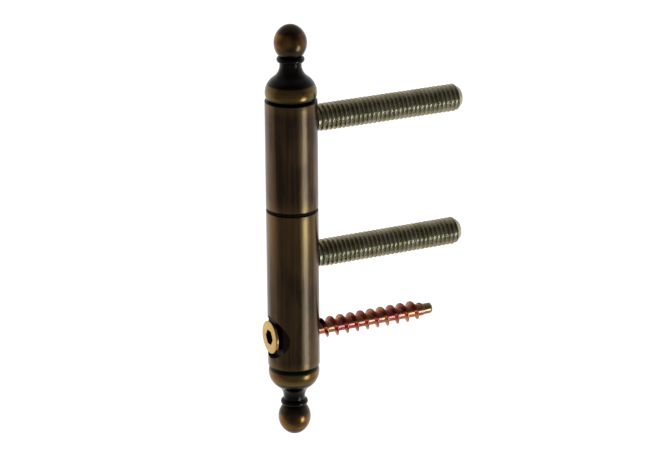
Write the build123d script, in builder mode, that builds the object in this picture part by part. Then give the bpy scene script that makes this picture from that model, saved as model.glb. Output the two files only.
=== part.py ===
"""Screw-in hinge: two barrels on a lift-off pin, turned finials, threaded studs and a fixing screw.

Millimetres. The origin is where the frame stud leaves the lower barrel, +X runs along the studs and
+Z runs up the pivot axis.
"""
import math
import os

from build123d import *

os.makedirs("parts", exist_ok=True)

# Barrels
barrel_diameter = 16.0
upper_barrel_length = 34.0
lower_barrel_length = 50.5
barrel_edge = 0.35

# Washer between the barrels
washer_thickness = 0.6
washer_setback = 0.15

# Hinge pin, fixed in the lower barrel and free in the upper one
pin_diameter = 8.0
pin_running_clearance = 0.05
pin_floor = 1.3
pin_lead = 1.0
bore_floor = 2.1
bore_end_room = 1.0
drill_point_angle = 118.0

# Studs: grooves at the thread's pitch and depth run along the full-diameter part
stud_diameter = 8.5
stud_reach = 49.0
stud_tip_length = 1.7
stud_tip_diameter = 5.9
stud_pitch = 1.5
stud_thread_depth = 0.8
stud_crest = 0.3
stud_neck_diameter = 8.1
stud_neck_length = 0.5
stud_spigot_diameter = 6.9
stud_shoulder_land = 0.15
stud_web = 1.0
frame_stud_below_joint = 15.8
door_stud_below_end = 6.9

# Finials: heights are measured from the barrel's end
finial_setback = 0.1
finial_undercut = 0.9
finial_cup_height = 2.2
finial_neck_diameter = 6.7
finial_neck_height = 10.9
finial_turn = 0.55
finial_bead_diameter = 8.5
finial_bead_height = 12.6
finial_bead_section = 1.9
finial_ball_diameter = 10.1
finial_ball_length = 11.4
finial_crown_diameter = 8.8
finial_ball_height = 17.65
spigot_diameter = 5.0
spigot_length = 5.0
spigot_lead = 0.5

# Fixing screw, with a right-hand wood thread
screw_above_end = 10.0
screw_length = 56.0
screw_head_diameter = 10.3
screw_head_rim = 0.8
screw_head_stand = 0.3
screw_head_edge = 0.2
screw_shank_diameter = 4.6
screw_core_diameter = 3.9
screw_thread_diameter = 6.4
screw_thread_length = 37.5
screw_pitch = 3.5
screw_ridge_root = 1.5
screw_ridge_crest = 0.2
ridge_root_depth = 0.15
screw_fade_length = 3.0
screw_point_diameter = 3.4
screw_point_length = 3.0
screw_point_edge = 0.3
screw_hole_clearance = 0.2
screw_pocket_diameter = 13.4
screw_seat_width = 0.3
socket_across_flats = 4.4
socket_depth = 2.8

# Room left round everything that is pressed, screwed or seated for good
seat_clearance = 0.02
hole_end_room = 0.4

# Places that follow from the sizes
barrel_radius = barrel_diameter / 2
stud_radius = stud_diameter / 2
pin_radius = pin_diameter / 2
pivot_x = -barrel_radius
joint_z = frame_stud_below_joint
upper_base_z = joint_z + washer_thickness
upper_end_z = upper_base_z + upper_barrel_length
lower_end_z = joint_z - lower_barrel_length
door_stud_z = upper_end_z - door_stud_below_end
screw_z = lower_end_z + screw_above_end

pin_bottom_z = stud_radius + pin_floor
bore_top_z = door_stud_z - stud_radius - bore_floor
pin_top_z = bore_top_z - bore_end_room

stud_inner_x = pivot_x + spigot_diameter / 2 + stud_web
stud_neck_radius = stud_neck_diameter / 2
surface_drop = barrel_radius - (barrel_radius**2 - stud_neck_radius**2) ** 0.5
stud_shoulder_x = -surface_drop - stud_shoulder_land
stud_tip_x = stud_reach - stud_tip_length
stud_turns = int((stud_tip_x - stud_neck_length - stud_crest) / stud_pitch)

screw_face_x = -barrel_diameter - screw_head_stand
screw_hole_radius = screw_thread_diameter / 2 + screw_hole_clearance

pivot = Axis((pivot_x, 0, 0), (0, 0, 1))
screw_axis = Axis((0, 0, screw_z), (1, 0, 0))


def axis_plane(x, z, up=1):
    """Plane with its X along +X and its Y along the pivot, up or down, seen from the front."""
    return Plane(origin=(x, 0, z), x_dir=(1, 0, 0), z_dir=(0, -up, 0))


def stud_hole(stud_z):
    """Stepped hole for a stud's spigot and neck, to be cut out of a barrel."""
    spigot_hole_radius = stud_spigot_diameter / 2 + seat_clearance
    neck_hole_radius = stud_neck_radius + seat_clearance
    with BuildPart() as hole:
        with BuildSketch(Plane.YZ.offset(stud_inner_x)):
            with Locations((0, stud_z)):
                Circle(spigot_hole_radius)
        extrude(amount=-stud_inner_x)
        with BuildSketch(Plane.YZ.offset(stud_shoulder_x)):
            with Locations((0, stud_z)):
                Circle(neck_hole_radius)
        extrude(amount=stud_diameter)
    return hole.part


# Upper barrel: turned brass, bored from below for the pin, which leaves a drill point at the bore's end
with BuildPart() as upper_barrel:
    with BuildSketch(Plane.XY.offset(upper_base_z)):
        with Locations((pivot_x, 0)):
            Circle(barrel_radius)
    extrude(amount=upper_barrel_length)
    chamfer(upper_barrel.edges().filter_by(GeomType.CIRCLE), barrel_edge)
    bore_radius = pin_radius + pin_running_clearance
    drill_point = bore_radius / math.tan(math.radians(drill_point_angle / 2))
    with BuildSketch(axis_plane(pivot_x, upper_base_z)):
        with BuildLine():
            Polyline(
                (0, 0),
                (bore_radius, 0),
                (bore_radius, bore_top_z - upper_base_z),
                (0, bore_top_z - upper_base_z + drill_point),
                close=True,
            )
        make_face()
    revolve(axis=pivot, mode=Mode.SUBTRACT)
    with Locations((pivot_x, 0, upper_end_z)):
        Hole(spigot_diameter / 2 + seat_clearance, depth=spigot_length + hole_end_room)
    add(stud_hole(door_stud_z), mode=Mode.SUBTRACT)
upper_barrel.part.label = "upper_barrel"
export_step(upper_barrel.part, "parts/upper_barrel.step")

# Lower barrel: holes for the pin and the finial in its ends, for the stud in its side, and a cross
# hole that the fixing screw's thread passes through, with a flat pocket and a conical seat for its head
with BuildPart() as lower_barrel:
    with BuildSketch(Plane.XY.offset(lower_end_z)):
        with Locations((pivot_x, 0)):
            Circle(barrel_radius)
    extrude(amount=lower_barrel_length)
    chamfer(lower_barrel.edges().filter_by(GeomType.CIRCLE), barrel_edge)
    with Locations((pivot_x, 0, joint_z)):
        Hole(pin_radius + seat_clearance, depth=joint_z - pin_bottom_z)
    with Locations(Plane(origin=(pivot_x, 0, lower_end_z), z_dir=(0, 0, -1))):
        Hole(spigot_diameter / 2 + seat_clearance, depth=spigot_length + hole_end_room)
    add(stud_hole(0), mode=Mode.SUBTRACT)
    seat_radius = screw_hole_radius + screw_seat_width
    pocket_depth = screw_head_rim + screw_head_diameter / 2 + seat_clearance - seat_radius
    with BuildSketch(axis_plane(screw_face_x, screw_z)):
        with BuildLine():
            Polyline(
                (0, 0),
                (0, screw_pocket_diameter / 2),
                (pocket_depth, screw_pocket_diameter / 2),
                (pocket_depth, seat_radius),
                (pocket_depth + screw_seat_width, screw_hole_radius),
                (-screw_face_x, screw_hole_radius),
                (-screw_face_x, 0),
                close=True,
            )
        make_face()
    revolve(axis=screw_axis, mode=Mode.SUBTRACT)
lower_barrel.part.label = "lower_barrel"
export_step(lower_barrel.part, "parts/lower_barrel.step")

# Hinge pin: ground steel, with a lead on the end that enters the upper barrel
with BuildPart() as hinge_pin:
    with BuildSketch(Plane.XY.offset(pin_bottom_z)):
        with Locations((pivot_x, 0)):
            Circle(pin_radius)
    extrude(amount=pin_top_z - pin_bottom_z)
    chamfer(hinge_pin.edges().group_by(Axis.Z)[-1], pin_lead)
hinge_pin.part.label = "hinge_pin"
export_step(hinge_pin.part, "parts/hinge_pin.step")

# Bearing washer: flat ring round the pin, a little inside the barrels' outline
with BuildPart() as bearing_washer:
    with BuildSketch(Plane.XY.offset(joint_z)):
        with Locations((pivot_x, 0)):
            Circle(barrel_radius - washer_setback)
            Circle(pin_radius + pin_running_clearance, mode=Mode.SUBTRACT)
    extrude(amount=washer_thickness)
bearing_washer.part.label = "bearing_washer"
export_step(bearing_washer.part, "parts/bearing_washer.step")

# Studs: a spigot and a neck seat in the barrel, and the free end is pointed to start in its hole. The
# thread is drawn as a row of V grooves, with the flat crests on the stud's full diameter.
groove_outline = ((0, 0), (stud_crest, 0), ((stud_crest + stud_pitch) / 2, stud_thread_depth))
stud_thread = [
    (stud_neck_length + turn * stud_pitch + along, stud_radius - depth)
    for turn in range(stud_turns)
    for along, depth in groove_outline
]
for stud_name, stud_z in (("frame_stud", 0), ("door_stud", door_stud_z)):
    with BuildPart() as stud:
        with BuildSketch(axis_plane(0, stud_z)):
            with BuildLine():
                Polyline(
                    (stud_inner_x, 0),
                    (stud_inner_x, stud_spigot_diameter / 2),
                    (stud_shoulder_x, stud_spigot_diameter / 2),
                    (stud_shoulder_x, stud_neck_radius),
                    (stud_neck_length, stud_neck_radius),
                    *stud_thread,
                    (stud_neck_length + stud_turns * stud_pitch, stud_radius),
                    (stud_tip_x, stud_radius),
                    (stud_reach, stud_tip_diameter / 2),
                    (stud_reach, 0),
                    close=True,
                )
            make_face()
        revolve(axis=Axis((0, 0, stud_z), (1, 0, 0)))
    stud.part.label = stud_name
    export_step(stud.part, f"parts/{stud_name}.step")

# Finials: one turned piece each, from the spigot in the barrel over the cup, neck and bead to the ball.
# Two arcs that meet in a smooth reverse curve lead from the cup's widest place to the neck, and the
# ball is an oval of two crowns and a fuller side.
base_radius = barrel_radius - finial_undercut
cup_radius = barrel_radius - finial_setback
neck_radius = finial_neck_diameter / 2
turn_radius = cup_radius + finial_turn * (neck_radius - cup_radius)
turn_height = finial_cup_height + finial_turn * (finial_neck_height - finial_cup_height)
bead_radius = finial_bead_section / 2
ball_radius = finial_ball_diameter / 2
ball_half_length = finial_ball_length / 2
crown_radius = finial_crown_diameter / 2
crown_rise = ball_half_length - crown_radius
side_radius = (ball_radius**2 + crown_rise**2 - crown_radius**2) / (2 * (ball_radius - crown_radius))
crown_edge = crown_radius * (side_radius - ball_radius) / (side_radius - crown_radius)
crown_edge_height = crown_rise + crown_radius * crown_rise / (side_radius - crown_radius)
for finial_name, finial_plane in (
    ("upper_finial", axis_plane(pivot_x, upper_end_z)),
    ("lower_finial", axis_plane(pivot_x, lower_end_z, up=-1)),
):
    with BuildPart() as finial:
        with BuildSketch(finial_plane):
            with BuildLine():
                Polyline(
                    (0, finial_ball_height),
                    (0, -spigot_length),
                    (spigot_diameter / 2 - spigot_lead, -spigot_length),
                    (spigot_diameter / 2, spigot_lead - spigot_length),
                    (spigot_diameter / 2, 0),
                    (base_radius, 0),
                )
                TangentArc((cup_radius, finial_cup_height), (base_radius, 0), tangent=(0, -1))
                bulge = TangentArc((cup_radius, finial_cup_height), (turn_radius, turn_height), tangent=(0, 1))
                TangentArc(bulge @ 1, (neck_radius, finial_neck_height), tangent=bulge % 1)
                Polyline(
                    (neck_radius, finial_neck_height),
                    (neck_radius, finial_ball_height),
                    (0, finial_ball_height),
                )
            make_face()
            with Locations((finial_bead_diameter / 2 - bead_radius, finial_bead_height)):
                Circle(bead_radius)
            with BuildLine():
                crown = TangentArc(
                    (0, finial_ball_height + ball_half_length),
                    (crown_edge, finial_ball_height + crown_edge_height),
                    tangent=(1, 0),
                )
                side = TangentArc(
                    crown @ 1,
                    (crown_edge, finial_ball_height - crown_edge_height),
                    tangent=crown % 1,
                )
                TangentArc(side @ 1, (0, finial_ball_height - ball_half_length), tangent=side % 1)
                Line((0, finial_ball_height - ball_half_length), (0, finial_ball_height + ball_half_length))
            make_face()
        revolve(axis=Axis(finial_plane.origin, finial_plane.y_dir))
    finial.part.label = finial_name
    export_step(finial.part, f"parts/{finial_name}.step")

# Ridge of the wood thread, wound along X from the origin: a thin V round the core, which a cone
# fades out towards the point
core_radius = screw_core_diameter / 2
thread_radius = screw_thread_diameter / 2
ridge_height = thread_radius - core_radius
with BuildPart() as thread_ridge:
    with BuildLine():
        winding = Helix(
            pitch=screw_pitch,
            height=screw_thread_length,
            radius=core_radius,
            direction=(1, 0, 0),
        )
    with BuildSketch(Plane(origin=winding @ 0, x_dir=winding @ 0, z_dir=winding % 0)):
        with BuildLine():
            Polyline(
                (-ridge_root_depth, -screw_ridge_root / 2),
                (ridge_height, -screw_ridge_crest / 2),
                (ridge_height, screw_ridge_crest / 2),
                (-ridge_root_depth, screw_ridge_root / 2),
                close=True,
            )
        make_face()
    sweep(path=winding, is_frenet=True)
    with BuildSketch(Plane.XZ):
        with BuildLine():
            Polyline(
                (0, 0),
                (0, core_radius + ridge_height * screw_thread_length / screw_fade_length),
                (screw_thread_length, core_radius),
                (screw_thread_length, 0),
                close=True,
            )
        make_face()
    revolve(axis=Axis.X, mode=Mode.INTERSECT)

# Fixing screw: countersunk head with a hex socket, plain shank inside the barrel, thread and plain point
head_radius = screw_head_diameter / 2
shank_radius = screw_shank_diameter / 2
point_radius = screw_point_diameter / 2
shank_end = screw_length - screw_point_length - screw_thread_length
with BuildPart() as fixing_screw:
    with BuildSketch(axis_plane(screw_face_x, screw_z)):
        with BuildLine():
            Polyline(
                (0, 0),
                (0, head_radius - screw_head_edge),
                (screw_head_edge, head_radius),
                (screw_head_rim, head_radius),
                (screw_head_rim + head_radius - shank_radius, shank_radius),
                (shank_end, shank_radius),
                (shank_end, core_radius),
                (screw_length - screw_point_length, core_radius),
                (screw_length - screw_point_length, point_radius),
                (screw_length - screw_point_edge, point_radius),
                (screw_length, point_radius - screw_point_edge),
                (screw_length, 0),
                close=True,
            )
        make_face()
    revolve(axis=screw_axis)
    with Locations((screw_face_x + shank_end, 0, screw_z)):
        add(thread_ridge.part)
    with BuildSketch(Plane.YZ.offset(screw_face_x)):
        with Locations((0, screw_z)):
            RegularPolygon(socket_across_flats / 2, 6, major_radius=False, rotation=30)
    extrude(amount=socket_depth, mode=Mode.SUBTRACT)
fixing_screw.part.label = "fixing_screw"
export_step(fixing_screw.part, "parts/fixing_screw.step")
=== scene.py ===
"""Screw-in hinge with turned finials, dressed for the camera."""
import math

import bpy
from mathutils import Matrix, Vector


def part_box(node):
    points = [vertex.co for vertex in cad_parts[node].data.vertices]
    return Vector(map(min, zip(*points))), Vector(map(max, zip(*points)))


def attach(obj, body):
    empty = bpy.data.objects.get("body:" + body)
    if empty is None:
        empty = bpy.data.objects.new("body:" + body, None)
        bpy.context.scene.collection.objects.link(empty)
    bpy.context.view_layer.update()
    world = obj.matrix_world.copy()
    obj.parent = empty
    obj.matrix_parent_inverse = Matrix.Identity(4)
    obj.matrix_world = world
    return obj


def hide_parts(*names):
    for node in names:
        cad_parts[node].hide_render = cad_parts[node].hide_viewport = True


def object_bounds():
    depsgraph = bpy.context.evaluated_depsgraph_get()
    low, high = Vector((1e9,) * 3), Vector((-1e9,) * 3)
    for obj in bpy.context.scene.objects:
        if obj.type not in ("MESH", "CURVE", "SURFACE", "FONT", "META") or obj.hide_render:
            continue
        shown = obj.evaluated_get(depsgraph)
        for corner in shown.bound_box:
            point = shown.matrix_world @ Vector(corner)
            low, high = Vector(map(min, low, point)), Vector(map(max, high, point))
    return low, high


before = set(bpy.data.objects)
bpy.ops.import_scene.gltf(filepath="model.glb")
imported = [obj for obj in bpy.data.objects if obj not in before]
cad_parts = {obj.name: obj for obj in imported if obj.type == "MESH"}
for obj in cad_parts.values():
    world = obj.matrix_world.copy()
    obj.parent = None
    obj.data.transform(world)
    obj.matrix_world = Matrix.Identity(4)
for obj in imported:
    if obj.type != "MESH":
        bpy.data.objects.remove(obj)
cad_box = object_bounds()
mm = 0.001


# Lower barrel: a round bar of brass, turned and drilled, then bronzed dark and lacquered.
# Its top end carries the pin, its bottom end the finial, and the screw's hole crosses it from a flat pocket.
def clear_selection():
    """Leave nothing selected, so that the next operator only meets the new piece."""
    if bpy.context.object and bpy.context.object.mode != "OBJECT":
        bpy.ops.object.mode_set(mode="OBJECT")
    bpy.ops.object.select_all(action="DESELECT")


def arc(centre, radius, start, end, steps=8):
    """Points (radius from the axis, height) along an arc, from one angle in degrees to another."""
    angles = [math.radians(start + (end - start) * i / steps) for i in range(steps + 1)]
    return [(centre[0] + radius * math.cos(a), centre[1] + radius * math.sin(a)) for a in angles]


def wall(radius, low, high, steps):
    """Points up a straight wall, so that the turned surface has even faces."""
    return [(radius, low + (high - low) * i / steps) for i in range(steps + 1)]


def drawn_line(name, points):
    """One vertex, extruded from point to point: the outline that a lathe or a thread follows."""
    clear_selection()
    bpy.ops.mesh.primitive_plane_add(size=mm, location=points[0])
    line = bpy.context.object
    line.name = name
    bpy.ops.object.mode_set(mode="EDIT")
    bpy.ops.mesh.merge(type="CENTER")
    for here, there in zip(points, points[1:]):
        step = Vector(there) - Vector(here)
        bpy.ops.mesh.extrude_region_move(TRANSFORM_OT_translate={"value": step})
    bpy.ops.object.mode_set(mode="OBJECT")
    bpy.ops.object.transform_apply(location=True, rotation=True, scale=True)
    return line


def turned(name, outline, foot, along="Z", steps=128):
    """Spin an outline of (radius, height) once round the axis through foot, as on a lathe."""
    foot = Vector(foot)
    if along == "Z":
        points = [foot + Vector((r, 0, h)) for r, h in outline]
        axis = (0, 0, 1)
    else:
        points = [foot + Vector((h, 0, r)) for r, h in outline]
        axis = (1, 0, 0)
    piece = drawn_line(name, points)
    bpy.ops.object.mode_set(mode="EDIT")
    bpy.ops.mesh.select_all(action="SELECT")
    bpy.ops.mesh.spin(steps=steps, angle=math.tau, center=foot, axis=axis)
    finish_mesh()
    return piece


def finish_mesh(crease=35):
    """Merge doubles, close slits, turn the faces outwards and smooth all but the sharp edges."""
    bpy.ops.object.mode_set(mode="EDIT")
    bpy.ops.mesh.select_all(action="SELECT")
    bpy.ops.mesh.remove_doubles(threshold=0.0005 * mm)
    bpy.ops.mesh.fill_holes(sides=4)
    bpy.ops.mesh.select_all(action="SELECT")
    bpy.ops.mesh.normals_make_consistent(inside=False)
    bpy.ops.object.mode_set(mode="OBJECT")
    bpy.ops.object.shade_smooth_by_angle(angle=math.radians(crease))


def cut(piece, tool, operation="DIFFERENCE"):
    """Cut a tool's shape out of a piece, or weld it on, and take the tool away."""
    clear_selection()
    bpy.context.view_layer.objects.active = piece
    piece.select_set(True)
    bpy.ops.object.modifier_add(type="BOOLEAN")
    boolean = piece.modifiers[-1]
    boolean.operation = operation
    boolean.solver = "EXACT"
    boolean.object = tool
    bpy.ops.object.modifier_apply(modifier=boolean.name)
    bpy.data.objects.remove(tool, do_unlink=True)
    finish_mesh()


lower_low, lower_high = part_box("lower_barrel")
barrel_radius = (lower_high[0] - lower_low[0]) / 2
pivot_x = (lower_high[0] + lower_low[0]) / 2
lower_length = lower_high[2] - lower_low[2]
barrel_edge = 0.35 * mm
seat_room = 0.02 * mm
spigot_radius = 2.5 * mm
spigot_depth = 5.4 * mm
pin_low, pin_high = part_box("hinge_pin")
pin_radius = (pin_high[0] - pin_low[0]) / 2
pin_seat = pin_low[2] - lower_low[2]
stud_neck_radius = 4.05 * mm
stud_spigot_radius = 3.45 * mm
stud_sink = 0.15 * mm
stud_inner_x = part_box("frame_stud")[0][0]
stud_shoulder_x = math.sqrt(barrel_radius**2 - stud_neck_radius**2) - barrel_radius - stud_sink

lower_barrel = turned(
    "lower_barrel_bronzed",
    [(0, spigot_depth), (spigot_radius + seat_room, spigot_depth), (spigot_radius + seat_room, 0)]
    + arc((barrel_radius - barrel_edge, barrel_edge), barrel_edge, -90, 0, 4)
    + wall(barrel_radius, barrel_edge, lower_length - barrel_edge, 30)[1:-1]
    + arc((barrel_radius - barrel_edge, lower_length - barrel_edge), barrel_edge, 0, 90, 4)
    + [(pin_radius + seat_room, lower_length), (pin_radius + seat_room, pin_seat), (0, pin_seat)],
    (pivot_x, 0, lower_low[2]),
)


def stud_hole(stud_z):
    """Tool for the stepped hole that a stud's spigot and neck sit in."""
    return turned(
        "stud_hole",
        [
            (0, stud_inner_x),
            (stud_spigot_radius + seat_room, stud_inner_x),
            (stud_spigot_radius + seat_room, stud_shoulder_x),
            (stud_neck_radius + seat_room, stud_shoulder_x),
            (stud_neck_radius + seat_room, barrel_radius),
            (0, barrel_radius),
        ],
        (0, 0, stud_z),
        along="X",
        steps=64,
    )


screw_low, screw_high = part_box("fixing_screw")
screw_z = (screw_low[2] + screw_high[2]) / 2
head_radius = (screw_high[2] - screw_low[2]) / 2
head_rim = 0.8 * mm
screw_hole_radius = 3.4 * mm
seat_chamfer = 0.3 * mm
seat_radius = screw_hole_radius + seat_chamfer
pocket_radius = 6.7 * mm
pocket_depth = head_rim + head_radius + seat_room - seat_radius
cut(lower_barrel, stud_hole(0))
cut(
    lower_barrel,
    turned(
        "screw_pocket",
        [
            (0, 0),
            (pocket_radius, 0),
            (pocket_radius, pocket_depth),
            (seat_radius, pocket_depth),
            (screw_hole_radius, pocket_depth + seat_chamfer),
            (screw_hole_radius, -screw_low[0] + mm),
            (0, -screw_low[0] + mm),
        ],
        (screw_low[0], 0, screw_z),
        along="X",
        steps=96,
    ),
)


def node(material, kind, **inputs):
    """Add a shader node and set its sockets: a value, or another node's output to link."""
    made = material.node_tree.nodes.new(kind)
    for name, value in inputs.items():
        set_input(material, made, name.replace("_", " "), value)
    return made


def set_input(material, made, name, value):
    """Set one socket of a node by its name or number."""
    socket = made.inputs[int(name)] if name.isdigit() else made.inputs[name]
    if isinstance(value, bpy.types.NodeSocket):
        material.node_tree.links.new(value, socket)
    else:
        socket.default_value = value


def maths(material, operation, *values, clamp=False):
    """A Math node's result."""
    made = material.node_tree.nodes.new("ShaderNodeMath")
    made.operation = operation
    made.use_clamp = clamp
    for socket, value in zip(made.inputs, values):
        if isinstance(value, bpy.types.NodeSocket):
            material.node_tree.links.new(value, socket)
        else:
            socket.default_value = value
    return made.outputs[0]


def between(material, value, low, high, smooth=True):
    """0 where value is at low, 1 where it is at high, eased in between."""
    made = node(material, "ShaderNodeMapRange", Value=value, From_Min=low, From_Max=high)
    made.interpolation_type = "SMOOTHSTEP" if smooth else "LINEAR"
    return made.outputs["Result"]


def blended(material, share, first, second):
    """One colour mixed into another by a share from 0 to 1."""
    made = material.node_tree.nodes.new("ShaderNodeMix")
    made.data_type = "RGBA"
    colours = [s for s in made.inputs if s.type == "RGBA"]
    for socket, value in zip([made.inputs["Factor"]] + colours, (share, first, second)):
        if isinstance(value, bpy.types.NodeSocket):
            material.node_tree.links.new(value, socket)
        else:
            socket.default_value = value
    return [s for s in made.outputs if s.type == "RGBA"][0]


def metal(name):
    """A new all-metal material: its shader and where on the piece a point lies."""
    material = bpy.data.materials.new(name)
    material.use_nodes = True
    shader = material.node_tree.nodes["Principled BSDF"]
    shader.inputs["Metallic"].default_value = 1.0
    place = material.node_tree.nodes.new("ShaderNodeTexCoord").outputs["Object"]
    return material, shader, place


def noise(material, place, scale, stretch=(1, 1, 1), detail=3.0, roughness=0.55):
    """Noise over the piece, finer along the axes that stretch is larger on."""
    mapped = node(material, "ShaderNodeMapping", Vector=place, Scale=stretch)
    made = node(
        material,
        "ShaderNodeTexNoise",
        Vector=mapped.outputs[0],
        Scale=scale,
        Detail=detail,
        Roughness=roughness,
    )
    return made.outputs["Fac"]


def spread(material, value, low, high):
    """The middle of a noise's range, stretched from low to high."""
    made = node(
        material, "ShaderNodeMapRange", Value=value, From_Min=0.3, From_Max=0.7, To_Min=low, To_Max=high
    )
    return made.outputs["Result"]


def off_screw_axis(material, parts):
    """How far a point of the piece lies from the fixing screw's axis."""
    above = maths(material, "SUBTRACT", parts.outputs["Z"], screw_z)
    above_squared = maths(material, "MULTIPLY", above, above)
    aside_squared = maths(material, "MULTIPLY", parts.outputs["Y"], parts.outputs["Y"])
    return maths(material, "SQRT", maths(material, "ADD", above_squared, aside_squared))


patina = (0.062, 0.036, 0.021, 1)
warm_patina = (0.158, 0.090, 0.041, 1)
rubbed_brass = (0.34, 0.20, 0.050, 1)
# Near black: the finials' black patina, and painted shade on the barrels' end edges.
black_patina_and_painted_shade = (0.012, 0.010, 0.009, 1)
pocket_painted_shade = (0.040, 0.027, 0.018, 1)
rubbed_share = 0.35
lacquer_weight = 0.25
pocket_dulling = 0.25
rub_grain = 6 * mm


def bronzed_barrel(name, ends, rub_reach):
    """Bronzed brass of a barrel: streaked lengthways, rubbed towards its ends, with painted shade on its end
    edges and in the screw's pocket.
    """
    material, shader, place = metal(name)
    parts = node(material, "ShaderNodeSeparateXYZ", Vector=place)
    streaks = noise(material, place, 620, stretch=(1, 1, 0.03), detail=4)
    clouds = noise(material, place, 160, stretch=(1, 1, 0.45))
    fine_share = maths(material, "MULTIPLY", streaks, 0.6)
    drawn = maths(material, "ADD", fine_share, maths(material, "MULTIPLY", clouds, 0.4))
    tone = blended(material, between(material, drawn, 0.41, 0.60), patina, warm_patina)
    grain = maths(material, "MULTIPLY", maths(material, "SUBTRACT", clouds, 0.5), rub_grain)
    rubbed = 0.0
    edge = 0.0
    for end, reach in zip(ends, rub_reach):
        off = maths(material, "ABSOLUTE", maths(material, "SUBTRACT", parts.outputs["Z"], end))
        near = between(material, maths(material, "ADD", off, grain), reach, 0.0)
        rubbed = maths(material, "MAXIMUM", rubbed, near)
        # Painted shade: the barrel's end edges, next to the washer and the finial, are coloured near black
        # as if in shadow.
        at_shaded_edge = between(material, off, 1.2 * barrel_edge, 0.8 * barrel_edge)
        edge = maths(material, "MAXIMUM", edge, at_shaded_edge)
    tone = blended(material, maths(material, "MULTIPLY", rubbed, rubbed_share), tone, rubbed_brass)
    off_screw = off_screw_axis(material, parts)
    near_screw = maths(material, "LESS_THAN", off_screw, pocket_radius + seat_room)
    on_head_side = maths(material, "LESS_THAN", parts.outputs["X"], pivot_x)
    in_pocket = maths(material, "MULTIPLY", near_screw, on_head_side)
    # The painted shade on the end edges and in the pocket gets no lacquer.
    recessed = maths(material, "MAXIMUM", edge, in_pocket)
    # Painted shade: the screw's pocket is coloured dark brown and dulled as if in shadow.
    tone = blended(material, in_pocket, tone, pocket_painted_shade)
    tone = blended(material, edge, tone, black_patina_and_painted_shade)
    set_input(material, shader, "Base Color", tone)
    rough = spread(material, streaks, 0.24, 0.36)
    dull = maths(material, "MULTIPLY", in_pocket, pocket_dulling)
    set_input(material, shader, "Roughness", maths(material, "ADD", rough, dull))
    bump = node(material, "ShaderNodeBump", Strength=0.12, Distance=0.02 * mm, Height=streaks)
    set_input(material, shader, "Normal", bump.outputs["Normal"])
    open_share = maths(material, "SUBTRACT", 1.0, recessed)
    lacquer = maths(material, "MULTIPLY", open_share, lacquer_weight)
    set_input(material, shader, "Coat Weight", lacquer)
    shader.inputs["Coat Roughness"].default_value = 0.16
    return material


def dress(piece, material, body, slot, *replaced):
    """Give a piece its finish and its body, and hide the nodes that it stands for."""
    piece.data.materials.clear()
    piece.data.materials.append(material)
    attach(piece, body)
    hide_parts(*replaced)


joint_z = lower_high[2]
dress(
    lower_barrel,
    bronzed_barrel("bronzed_lower_barrel", (joint_z, lower_low[2]), (26 * mm, 3 * mm)),
    "frame_half",
    "bronzed_brass",
    "lower_barrel",
)

# Hinge pin: ground steel bar, pressed into the lower barrel, with a lead on its free end.
# The upper barrel turns and slides on it, so it is bright and faintly ringed.
pin_lead = 1.0 * mm
lead_round = 1.4 * pin_lead
lead_start = 16
pin_length = pin_high[2] - pin_low[2]
hinge_pin = turned(
    "hinge_pin_ground",
    [(0, 0)]
    + wall(pin_radius, 0, pin_length - pin_lead, 12)
    + arc((pin_radius - lead_round, pin_length - lead_round), lead_round, lead_start, 90, 6)
    + [(0, pin_length)],
    (pivot_x, 0, pin_low[2]),
    steps=96,
)
ground_steel, shader, place = metal("ground_steel")
rings = noise(ground_steel, place, 500, stretch=(0.05, 0.05, 3))
set_input(
    ground_steel,
    shader,
    "Base Color",
    blended(ground_steel, rings, (0.46, 0.46, 0.45, 1), (0.58, 0.57, 0.55, 1)),
)
set_input(ground_steel, shader, "Roughness", between(ground_steel, rings, -0.4, 2.2, smooth=False))
dress(hinge_pin, ground_steel, "frame_half", "steel", "hinge_pin")

# Bearing washer: a thin ring of black nylon, punched out of sheet, loose on the pin between the barrels.
washer_low, washer_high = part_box("bearing_washer")
washer_radius = (washer_high[0] - washer_low[0]) / 2
washer_thickness = washer_high[2] - washer_low[2]
washer_edge = 0.12 * mm
running_room = 0.05 * mm
washer_bore = pin_radius + running_room
bearing_washer = turned(
    "bearing_washer_nylon",
    [(washer_bore, washer_thickness / 2), (washer_bore, 0), (washer_radius - washer_edge, 0)]
    + arc((washer_radius - washer_edge, washer_edge), washer_edge, -90, 0, 4)[1:]
    + arc((washer_radius - washer_edge, washer_thickness - washer_edge), washer_edge, 0, 90, 4)
    + [(washer_bore, washer_thickness), (washer_bore, washer_thickness / 2)],
    (pivot_x, 0, washer_low[2]),
    steps=96,
)
black_nylon, shader, place = metal("black_nylon")
shader.inputs["Metallic"].default_value = 0.0
mottle = noise(black_nylon, place, 700)
set_input(
    black_nylon,
    shader,
    "Base Color",
    blended(black_nylon, mottle, (0.006, 0.006, 0.006, 1), (0.014, 0.013, 0.012, 1)),
)
set_input(black_nylon, shader, "Roughness", between(black_nylon, mottle, -0.8, 1.2, smooth=False))
shader.inputs["Specular IOR Level"].default_value = 0.2
dress(bearing_washer, black_nylon, "washer", "black_plastic", "bearing_washer")

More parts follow.
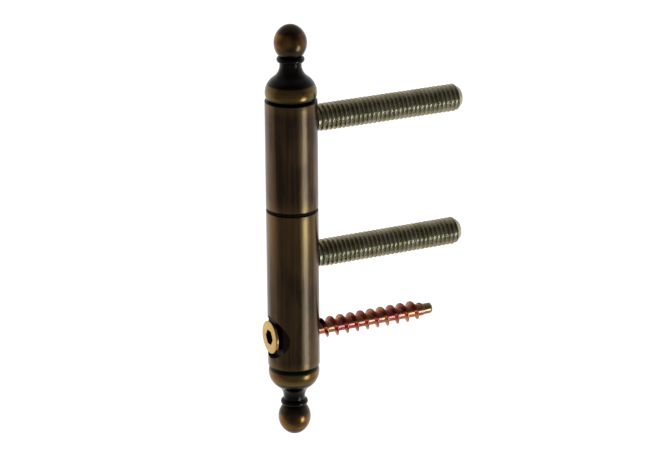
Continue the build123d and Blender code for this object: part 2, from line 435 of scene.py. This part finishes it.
# Upper barrel: the same bronzed brass bar, shorter, bored from below to run on the pin.
# It stands on the washer, with the door's stud in its side and a finial on its top.
upper_low, upper_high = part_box("upper_barrel")
upper_length = upper_high[2] - upper_low[2]
bore_radius = pin_radius + running_room
bore_spare = 1.0 * mm
bore_depth = pin_high[2] - upper_low[2] + bore_spare
drill_half_angle = math.radians(59)
drill_point = bore_radius / math.tan(drill_half_angle)
upper_barrel = turned(
    "upper_barrel_bronzed",
    [(0, bore_depth + drill_point), (bore_radius, bore_depth)]
    + wall(bore_radius, bore_depth, 0, 8)[1:]
    + arc((barrel_radius - barrel_edge, barrel_edge), barrel_edge, -90, 0, 4)
    + wall(barrel_radius, barrel_edge, upper_length - barrel_edge, 20)[1:-1]
    + arc((barrel_radius - barrel_edge, upper_length - barrel_edge), barrel_edge, 0, 90, 4)
    + [
        (spigot_radius + seat_room, upper_length),
        (spigot_radius + seat_room, upper_length - spigot_depth),
        (0, upper_length - spigot_depth),
    ],
    (pivot_x, 0, upper_low[2]),
)
door_stud_low, door_stud_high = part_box("door_stud")
door_stud_z = (door_stud_low[2] + door_stud_high[2]) / 2
cut(upper_barrel, stud_hole(door_stud_z))
dress(
    upper_barrel,
    bronzed_barrel("bronzed_upper_barrel", (upper_low[2], upper_high[2]), (5 * mm, 4 * mm)),
    "door_half",
    "bronzed_brass",
    "upper_barrel",
)


# Studs: steel bolts with a rolled thread, zinc plated and passivated olive yellow. Each is fixed in its
# barrel by a turned-down end, and has a coned tip that finds its way into the drilled wood.
def threaded(name, start_x, turns, pitch, tooth, axis_z, steps):
    """Wind one pitch of a thread's outline, (height along, radius), round X."""
    line = drawn_line(name, [(start_x + along, 0, radius) for along, radius in tooth])
    bpy.ops.object.modifier_add(type="SCREW")
    winding = line.modifiers[-1]
    winding.axis = "X"
    winding.angle = math.tau
    winding.screw_offset = pitch
    winding.iterations = turns
    winding.steps = steps
    winding.render_steps = steps
    winding.use_merge_vertices = True
    winding.merge_threshold = 0.001 * mm
    bpy.ops.object.modifier_apply(modifier=winding.name)
    line.location.z = axis_z
    bpy.ops.object.transform_apply(location=True)
    return line


def trim(piece, x, side):
    """Saw a piece off square at x and close it; side is 1 to drop what lies beyond, -1 before."""
    bpy.ops.object.mode_set(mode="EDIT")
    bpy.ops.mesh.select_all(action="SELECT")
    bpy.ops.mesh.bisect(
        plane_co=(x, 0, 0), plane_no=(side, 0, 0), use_fill=True, clear_outer=True, threshold=0.0001 * mm
    )
    bpy.ops.object.mode_set(mode="OBJECT")


def ease(value, low, high):
    """0 at low, 1 at high, eased in between."""
    share = min(max((value - low) / (high - low), 0), 1)
    return share * share * (3 - 2 * share)


def reshape(piece, axis_z, radius_at):
    """Move every point of a threaded piece in or out: radius_at(x, radius) gives its new radius."""
    for point in piece.data.vertices:
        x, y, z = point.co
        radius = math.hypot(y, z - axis_z)
        if radius > 0.05 * mm:
            share = radius_at(x, radius) / radius
            point.co = (x, y * share, axis_z + (z - axis_z) * share)


stud_radius = (door_stud_high[2] - door_stud_low[2]) / 2
stud_reach = door_stud_high[0]
stud_pitch = 1.5 * mm
stud_depth = 0.65 * mm
stud_tip_length = 1.7 * mm
stud_tip_radius = 2.95 * mm
stud_thread_start = 0.5 * mm
stud_tooth_steps = 12
stud_winding_steps = 72
tooth_flat = 0.08


def stud_outline(x, radius):
    """Plain spigot, the thread, which is lower where it enters the barrel, and a cone at the tip."""
    if x < stud_shoulder_x:
        return stud_spigot_radius
    entered = ease(x, stud_thread_start, 2 * stud_pitch)
    lowered = stud_neck_radius + (stud_radius - stud_neck_radius) * entered
    cone = stud_tip_radius + (stud_radius - stud_tip_radius) * (stud_reach - x) / stud_tip_length
    return min(radius, lowered, cone)


def rolled_tooth(step):
    """Point of one pitch of the stud's thread: flanks with a rounded crest and root."""
    share = step / stud_tooth_steps
    rise = 0.5 - 0.5 * math.cos(math.tau * share)
    rise = min(max((rise - tooth_flat) / (1 - 2 * tooth_flat), 0), 1)
    return share * stud_pitch, stud_radius - stud_depth * (1 - rise)


def zinc_plate(name, pale, deep, glint):
    """Zinc plate with a yellow passivation: blotched from pale to deep, with fine glints."""
    material, shader, place = metal(name)
    blotches = noise(material, place, 240, detail=4)
    fine = noise(material, place, 1400, detail=2)
    tone = blended(material, between(material, blotches, 0.38, 0.64), pale, deep)
    tone = blended(material, between(material, fine, 0.55, 0.75), tone, glint)
    set_input(material, shader, "Base Color", tone)
    set_input(material, shader, "Roughness", spread(material, fine, 0.18, 0.28))
    return material


pale_zinc = (0.47, 0.415, 0.29, 1)
olive_zinc = (0.33, 0.305, 0.175, 1)
zinc_glint = (0.60, 0.54, 0.41, 1)
yellow_zinc = zinc_plate("yellow_zinc", pale_zinc, olive_zinc, zinc_glint)
tooth = [rolled_tooth(step) for step in range(stud_tooth_steps + 1)]
stud_turns = math.ceil((stud_reach - stud_inner_x) / stud_pitch) + 2
for stud_name, stud_body, stud_z in (
    ("frame_stud", "frame_half", 0.0),
    ("door_stud", "door_half", door_stud_z),
):
    stud = threaded(
        f"{stud_name}_threaded",
        stud_inner_x - stud_pitch,
        stud_turns,
        stud_pitch,
        tooth,
        stud_z,
        stud_winding_steps,
    )
    trim(stud, stud_reach, 1)
    trim(stud, stud_inner_x, -1)
    reshape(stud, stud_z, stud_outline)
    finish_mesh(crease=50)
    dress(stud, yellow_zinc, stud_body, "yellow_zinc", stud_name)

# Finials: each is one turning of brass, with a cup, a slim neck, a bead and a ball like a pawn's.
# It is pressed into the barrel's end by a spigot, bronzed black in the hollows and rubbed on the rounds; its
# ball's crown and its part next to the bead are darkened with painted shade.
cup_radius = barrel_radius - 0.1 * mm
cup_height = 2.2 * mm
base_radius = barrel_radius - 0.9 * mm
neck_radius = 3.35 * mm
neck_height = 10.9 * mm
bead_radius = 0.95 * mm
bead_outer = 4.25 * mm
bead_height = 12.6 * mm
ball_radius = 5.05 * mm
ball_half_length = 5.7 * mm
ball_height = 17.65 * mm
crown_radius = 4.4 * mm
spigot_length = 5.0 * mm
spigot_lead = 0.5 * mm
bulge_share = 0.55
bead_start, bead_end = -88, 76
ball_start = -43


def cup_and_neck():
    """Reverse curve from the cup's widest place to the neck: two arcs that meet without a corner."""
    narrowing = cup_radius - neck_radius
    rise = neck_height - cup_height
    both = (narrowing**2 + rise**2) / (2 * narrowing)
    bulge = bulge_share * both
    hollow = both - bulge
    turn = math.degrees(math.asin(rise / both))
    convex = arc((cup_radius - bulge, cup_height), bulge, 0, turn, 20)
    concave = arc((neck_radius + hollow, neck_height), hollow, 180 + turn, 180, 20)
    return convex + concave[1:]


def ball():
    """Oval ball: a full side that runs into a tighter crown, from the groove above the bead to its top."""
    crown_rise = ball_half_length - crown_radius
    side = (ball_radius**2 + crown_rise**2 - crown_radius**2) / (2 * (ball_radius - crown_radius))
    turn = math.degrees(math.asin(crown_rise / (side - crown_radius)))
    side_arc = arc((ball_radius - side, ball_height), side, ball_start, turn, 28)
    crown_arc = arc((0, ball_height + crown_rise), crown_radius, turn, 90, 20)
    return side_arc + crown_arc[1:-1] + [(0, ball_height + ball_half_length)]


under_radius = (cup_height**2 + (cup_radius - base_radius) ** 2) / (2 * (cup_radius - base_radius))
under_turn = math.degrees(math.asin(cup_height / under_radius))
finial_outline = (
    [(0, -spigot_length), (spigot_radius - spigot_lead, -spigot_length)]
    + [(spigot_radius, spigot_lead - spigot_length), (spigot_radius, 0)]
    + arc((cup_radius - under_radius, cup_height), under_radius, -under_turn, 0, 10)
    + cup_and_neck()[1:]
    + arc((bead_outer - bead_radius, bead_height), bead_radius, bead_start, bead_end, 20)
    + ball()
)
red_brown = (0.33, 0.140, 0.024, 1)
old_gold = (0.235, 0.150, 0.036, 1)
dark_ball = (0.060, 0.036, 0.018, 1)
deep_soot = (0.022, 0.017, 0.013, 1)
cup_rub_start = (0.9 * mm, 1.7 * mm)
cup_rub_end = (5.2 * mm, 4.8 * mm)
ball_tone_start = (13.6 * mm, 14.8 * mm)
ball_unshaded_rub_start = (15.2 * mm, 17.8 * mm)
ball_unshaded_rub_end = (21.4 * mm, 20.2 * mm)


def bronzed_finial(name, end, up):
    """Bronzed brass of a finial: black where it is slim, rubbed to the brass on its cup and its ball, whose
    crown and part next to the bead are kept dark as painted shade.
    """
    material, shader, place = metal(name)
    level = node(material, "ShaderNodeSeparateXYZ", Vector=place).outputs["Z"]
    height = maths(material, "MULTIPLY", maths(material, "SUBTRACT", level, end), up)
    patches = noise(material, place, 130, detail=2)
    clouds = noise(material, place, 260, detail=4)
    fine = noise(material, place, 1200)
    rings = noise(material, place, 900, stretch=(0.08, 0.08, 2))
    dark = blended(material, between(material, clouds, 0.3, 0.75), black_patina_and_painted_shade, deep_soot)
    brown = blended(material, between(material, clouds, 0.42, 0.75), red_brown, old_gold)
    gold = blended(material, between(material, patches, 0.34, 0.52), red_brown, old_gold)
    cup_low = between(material, height, *cup_rub_start)
    cup_high = between(material, height, *cup_rub_end)
    cup_worn = maths(material, "MULTIPLY", cup_low, cup_high)
    cup_share = maths(material, "MULTIPLY", cup_worn, between(material, rings, -0.1, 0.75))
    tone = blended(material, cup_share, dark, gold)
    on_ball = between(material, height, *ball_tone_start)
    tone = blended(material, on_ball, tone, dark_ball)
    # Painted shade with the patina: the ball stays dark at its crown and next to the bead, and only a band
    # round its middle shows the rubbed brown.
    below_painted_crown_shade = between(material, height, *ball_unshaded_rub_end)
    above_painted_bead_shade = between(material, height, *ball_unshaded_rub_start)
    unshaded_round_ball = maths(material, "MULTIPLY", below_painted_crown_shade, above_painted_bead_shade)
    ball_share = maths(material, "MULTIPLY", unshaded_round_ball, between(material, patches, 0.36, 0.58))
    tone = blended(material, ball_share, tone, brown)
    set_input(material, shader, "Base Color", tone)
    set_input(material, shader, "Roughness", spread(material, fine, 0.2, 0.32))
    shader.inputs["Coat Weight"].default_value = 0.3
    shader.inputs["Coat Roughness"].default_value = 0.2
    return material


for finial_name, finial_body, end_z, up in (
    ("lower_finial", "frame_half", lower_low[2], -1),
    ("upper_finial", "door_half", upper_high[2], 1),
):
    finial = turned(
        f"{finial_name}_turned", [(r, up * h) for r, h in finial_outline], (pivot_x, 0, end_z), steps=160
    )
    material = bronzed_finial(f"bronzed_{finial_name}", end_z, up)
    dress(finial, material, finial_body, "bronzed_brass", finial_name)

# Fixing screw: a steel wood screw with a countersunk head and a hex socket, zinc plated and passivated
# to shifting golds and reds. It goes through the lower barrel and keeps the frame's half from turning.
screw_face_x = screw_low[0]
screw_tip_x = screw_high[0]
shank_radius = 2.3 * mm
core_radius = 1.95 * mm
thread_radius = 3.2 * mm
point_radius = 1.7 * mm
point_length = 3.0 * mm
point_edge = 0.3 * mm
screw_pitch = 3.5 * mm
thread_phase = 1.9 * mm
thread_length = 37.5 * mm
screw_winding_steps = 96
ridge_root = 1.5 * mm
ridge_crest = 0.12 * mm
flank_hollow = 1.25
fade_length = 3.0 * mm
socket_flats = 4.4 * mm
socket_corner = socket_flats / math.sqrt(3)
socket_depth = 2.8 * mm
head_edge = 0.2 * mm
cone_end_radius = 1.7 * mm
shank_overlap = 0.5 * mm
point_start_x = screw_tip_x - point_length
thread_start_x = point_start_x - thread_length
shank_end_x = screw_face_x + head_rim + head_radius - shank_radius


def wood_tooth():
    """One pitch of the wood thread: bare core, then a thin ridge with slightly hollow flanks."""
    gap = (screw_pitch - ridge_root) / 2
    flank = (ridge_root - ridge_crest) / 2
    rise = thread_radius - core_radius
    shares = (0, 0.15, 0.35, 0.6, 0.8, 1.0)
    up = [(gap + flank * share, core_radius + rise * share**flank_hollow) for share in shares]
    down = [(screw_pitch - along, radius) for along, radius in reversed(up)]
    return [(0, core_radius), (gap / 2, core_radius)] + up + down + [
        (screw_pitch - gap / 2, core_radius),
        (screw_pitch, core_radius),
    ]


def screw_outline(x, radius):
    """Plain shank inside the barrel, then the thread, which fades out towards the plain point."""
    if x > point_start_x:
        return min(point_radius, point_radius - point_edge + screw_tip_x - x)
    if x < thread_start_x:
        return shank_radius
    ridge = max(radius - core_radius, 0)
    return core_radius + min(ridge, (thread_radius - core_radius) * (point_start_x - x) / fade_length)


screw_turns = math.ceil((screw_tip_x - shank_end_x) / screw_pitch) + 4
fixing_screw = threaded(
    "fixing_screw_plated",
    shank_end_x - 3 * screw_pitch + thread_phase,
    screw_turns,
    screw_pitch,
    wood_tooth(),
    screw_z,
    screw_winding_steps,
)
trim(fixing_screw, screw_tip_x, 1)
trim(fixing_screw, shank_end_x - shank_overlap, -1)
reshape(fixing_screw, screw_z, screw_outline)
finish_mesh(crease=50)
head = turned(
    "screw_head",
    [(0, 0), (head_radius - head_edge, 0)]
    + arc((head_radius - head_edge, head_edge), head_edge, -90, 0, 5)[1:]
    + [(head_radius, head_rim), (cone_end_radius, head_rim + head_radius - cone_end_radius)]
    + [(0, head_rim + head_radius - cone_end_radius)],
    (screw_face_x, 0, screw_z),
    along="X",
    steps=96,
)
clear_selection()
bpy.ops.mesh.primitive_cylinder_add(
    vertices=6,
    radius=socket_corner,
    depth=2 * socket_depth,
    location=(screw_face_x, 0, screw_z),
    rotation=(0, math.pi / 2, 0),
)
socket = bpy.context.object
bpy.ops.object.transform_apply(location=True, rotation=True, scale=True)
cut(head, socket)
cut(fixing_screw, head, operation="UNION")

deep_red = (0.44, 0.115, 0.10, 1)
orange = (0.60, 0.26, 0.12, 1)
pink_glint = (0.62, 0.34, 0.31, 1)
olive_tip = (0.38, 0.33, 0.17, 1)
copper_gold = (0.70, 0.37, 0.11, 1)
pale_gold = (0.66, 0.48, 0.13, 1)
socket_shade = (0.045, 0.025, 0.012, 1)
olive_reach = 4 * mm
olive_share = 0.7
shade_start = 0.3 * mm
shade_room = 0.05 * mm


def rainbow_plate(name):
    """Zinc plate whose passivation shifts: golden on the head, pink, red and orange along the thread."""
    material, shader, place = metal(name)
    parts = node(material, "ShaderNodeSeparateXYZ", Vector=place)
    along = parts.outputs["X"]
    blotches = noise(material, place, 260, detail=4)
    fine = noise(material, place, 1500, detail=2)
    blotched = between(material, blotches, 0.40, 0.62)
    red = blended(material, blotched, deep_red, orange)
    red = blended(material, between(material, fine, 0.52, 0.75), red, pink_glint)
    olive = between(material, along, point_start_x - olive_reach, screw_tip_x)
    red = blended(material, maths(material, "MULTIPLY", olive, olive_share), red, olive_tip)
    gold = blended(material, blotched, copper_gold, pale_gold)
    on_head = between(material, along, shank_end_x, screw_face_x + head_rim)
    tone = blended(material, on_head, red, gold)
    past_face = between(material, along, screw_face_x, screw_face_x + shade_start)
    before_floor = maths(material, "LESS_THAN", along, screw_face_x + socket_depth + shade_room)
    near_axis = maths(material, "LESS_THAN", off_screw_axis(material, parts), socket_corner + shade_room)
    deep = maths(material, "MULTIPLY", past_face, before_floor)
    tone = blended(material, maths(material, "MULTIPLY", deep, near_axis), tone, socket_shade)
    set_input(material, shader, "Base Color", tone)
    set_input(material, shader, "Roughness", spread(material, fine, 0.18, 0.32))
    return material


iridescent_zinc = rainbow_plate("iridescent_zinc")
dress(fixing_screw, iridescent_zinc, "frame_half", "iridescent_zinc", "fixing_screw")

# Studio: a white floor far below, white walls behind and beside the hinge, a dim ceiling and a dark camera's
# side, so that the bronzed metal stays dark in its middle and catches light along its edges. A low lamp on
# the right draws the bright line down the barrels.
camera_azimuth = math.radians(25.1)
camera_elevation = math.radians(19.0)
camera_distance = 850 * mm
camera_roll = math.radians(0.43)
image_width = 650
focal_pixels = 2799
joint_centre = Vector((pivot_x, 0, joint_z + washer_thickness / 2))
towards_camera = Vector(
    (
        -math.sin(camera_azimuth) * math.cos(camera_elevation),
        -math.cos(camera_azimuth) * math.cos(camera_elevation),
        math.sin(camera_elevation),
    )
)
camera_right = Vector((math.cos(camera_azimuth), -math.sin(camera_azimuth), 0))
camera_up = towards_camera.cross(camera_right)
bpy.ops.object.camera_add(location=joint_centre + towards_camera * camera_distance)
camera = bpy.context.object
aim_right = 9.9 * mm
aim_up = -5.35 * mm
aim = joint_centre + camera_right * aim_right + camera_up * aim_up
look = (aim - camera.location).to_track_quat("-Z", "Y").to_matrix()
camera.rotation_euler = (look @ Matrix.Rotation(-camera_roll, 3, "Z")).to_euler()
camera.data.sensor_width = 36.0
camera.data.lens = focal_pixels / image_width * camera.data.sensor_width
camera.data.clip_start = 10 * mm
bpy.context.scene.camera = camera

floor_drop = 700 * mm
floor_size = 12
floor_reach = 2.3
floor_glow = 0.95
camera_side_level = 0.13
beside_level = 0.3
behind_level = 0.78
ceiling_share = 0.42
clear_selection()
bpy.ops.mesh.primitive_plane_add(size=floor_size, location=(0, 0, cad_box[0][2] - floor_drop))
floor = bpy.context.object
floor.name = "floor"
white_floor = bpy.data.materials.new("white_floor")
white_floor.use_nodes = True
shader = white_floor.node_tree.nodes["Principled BSDF"]
shader.inputs["Roughness"].default_value = 1.0
shader.inputs["Specular IOR Level"].default_value = 0.0
shader.inputs["Emission Color"].default_value = (1, 1, 1, 1)
paths = white_floor.node_tree.nodes.new("ShaderNodeLightPath")
place = white_floor.node_tree.nodes.new("ShaderNodeTexCoord").outputs["Object"]


def studio_level(material, place, reach):
    """How white the room is: dim on the camera's side, then brighter from beside the hinge to behind it."""
    behind = node(material, "ShaderNodeVectorMath", **{"0": place})
    behind.operation = "DOT_PRODUCT"
    behind.inputs[1].default_value = (math.sin(camera_azimuth), math.cos(camera_azimuth), 0)
    share = maths(material, "DIVIDE", behind.outputs["Value"], reach)
    ramp = node(material, "ShaderNodeMapRange", Value=share, From_Min=-0.2, From_Max=0.55)
    ramp.inputs["To Min"].default_value = beside_level - camera_side_level
    ramp.inputs["To Max"].default_value = behind_level - camera_side_level
    step = between(material, share, -0.36, -0.24)
    risen = maths(material, "MULTIPLY", step, ramp.outputs["Result"])
    return maths(material, "ADD", risen, camera_side_level)


card = studio_level(white_floor, place, floor_reach)
shade = node(white_floor, "ShaderNodeCombineColor", Red=card, Green=card, Blue=card)
set_input(white_floor, shader, "Base Color", shade.outputs["Color"])
mirrored = maths(white_floor, "MULTIPLY", paths.outputs["Is Glossy Ray"], card)
seen = maths(white_floor, "MULTIPLY", paths.outputs["Is Camera Ray"], floor_glow)
set_input(white_floor, shader, "Emission Strength", maths(white_floor, "ADD", mirrored, seen))
floor.data.materials.append(white_floor)

scene = bpy.context.scene
world = bpy.data.worlds.new("studio")
scene.world = world
world.use_nodes = True
background = world.node_tree.nodes["Background"]
direction = world.node_tree.nodes.new("ShaderNodeTexCoord").outputs["Generated"]
paths = world.node_tree.nodes.new("ShaderNodeLightPath")
rise = node(world, "ShaderNodeSeparateXYZ", Vector=direction).outputs["Z"]
ceiling = node(world, "ShaderNodeMapRange", Value=rise, From_Min=0.15, From_Max=0.7, To_Min=1.0)
ceiling.inputs["To Max"].default_value = ceiling_share
room = maths(world, "MULTIPLY", studio_level(world, direction, 1.0), ceiling.outputs["Result"])
strength = maths(world, "MAXIMUM", room, paths.outputs["Is Camera Ray"])
set_input(world, background, "Strength", strength)
background.inputs["Color"].default_value = (1, 1, 1, 1)

lamp_turn = math.radians(59)
lamp_angle = camera_azimuth - lamp_turn
lamp_distance = 600 * mm
lamp_height = -240 * mm
lamp_aim = Vector((pivot_x, 0, joint_z))
lamp_aside = Vector((-math.sin(lamp_angle), -math.cos(lamp_angle), 0)) * lamp_distance
bpy.ops.object.light_add(type="AREA", location=lamp_aim + lamp_aside + Vector((0, 0, lamp_height)))
lamp = bpy.context.object
lamp.name = "low_light"
lamp.data.shape = "RECTANGLE"
lamp.data.size = 200 * mm
lamp.data.size_y = 260 * mm
lamp.data.energy = 0.95
lamp.data.color = (0.74, 0.92, 1.0)
lamp.rotation_euler = (lamp_aim - lamp.location).to_track_quat("-Z", "Y").to_euler()

scene.view_settings.view_transform = "Standard"
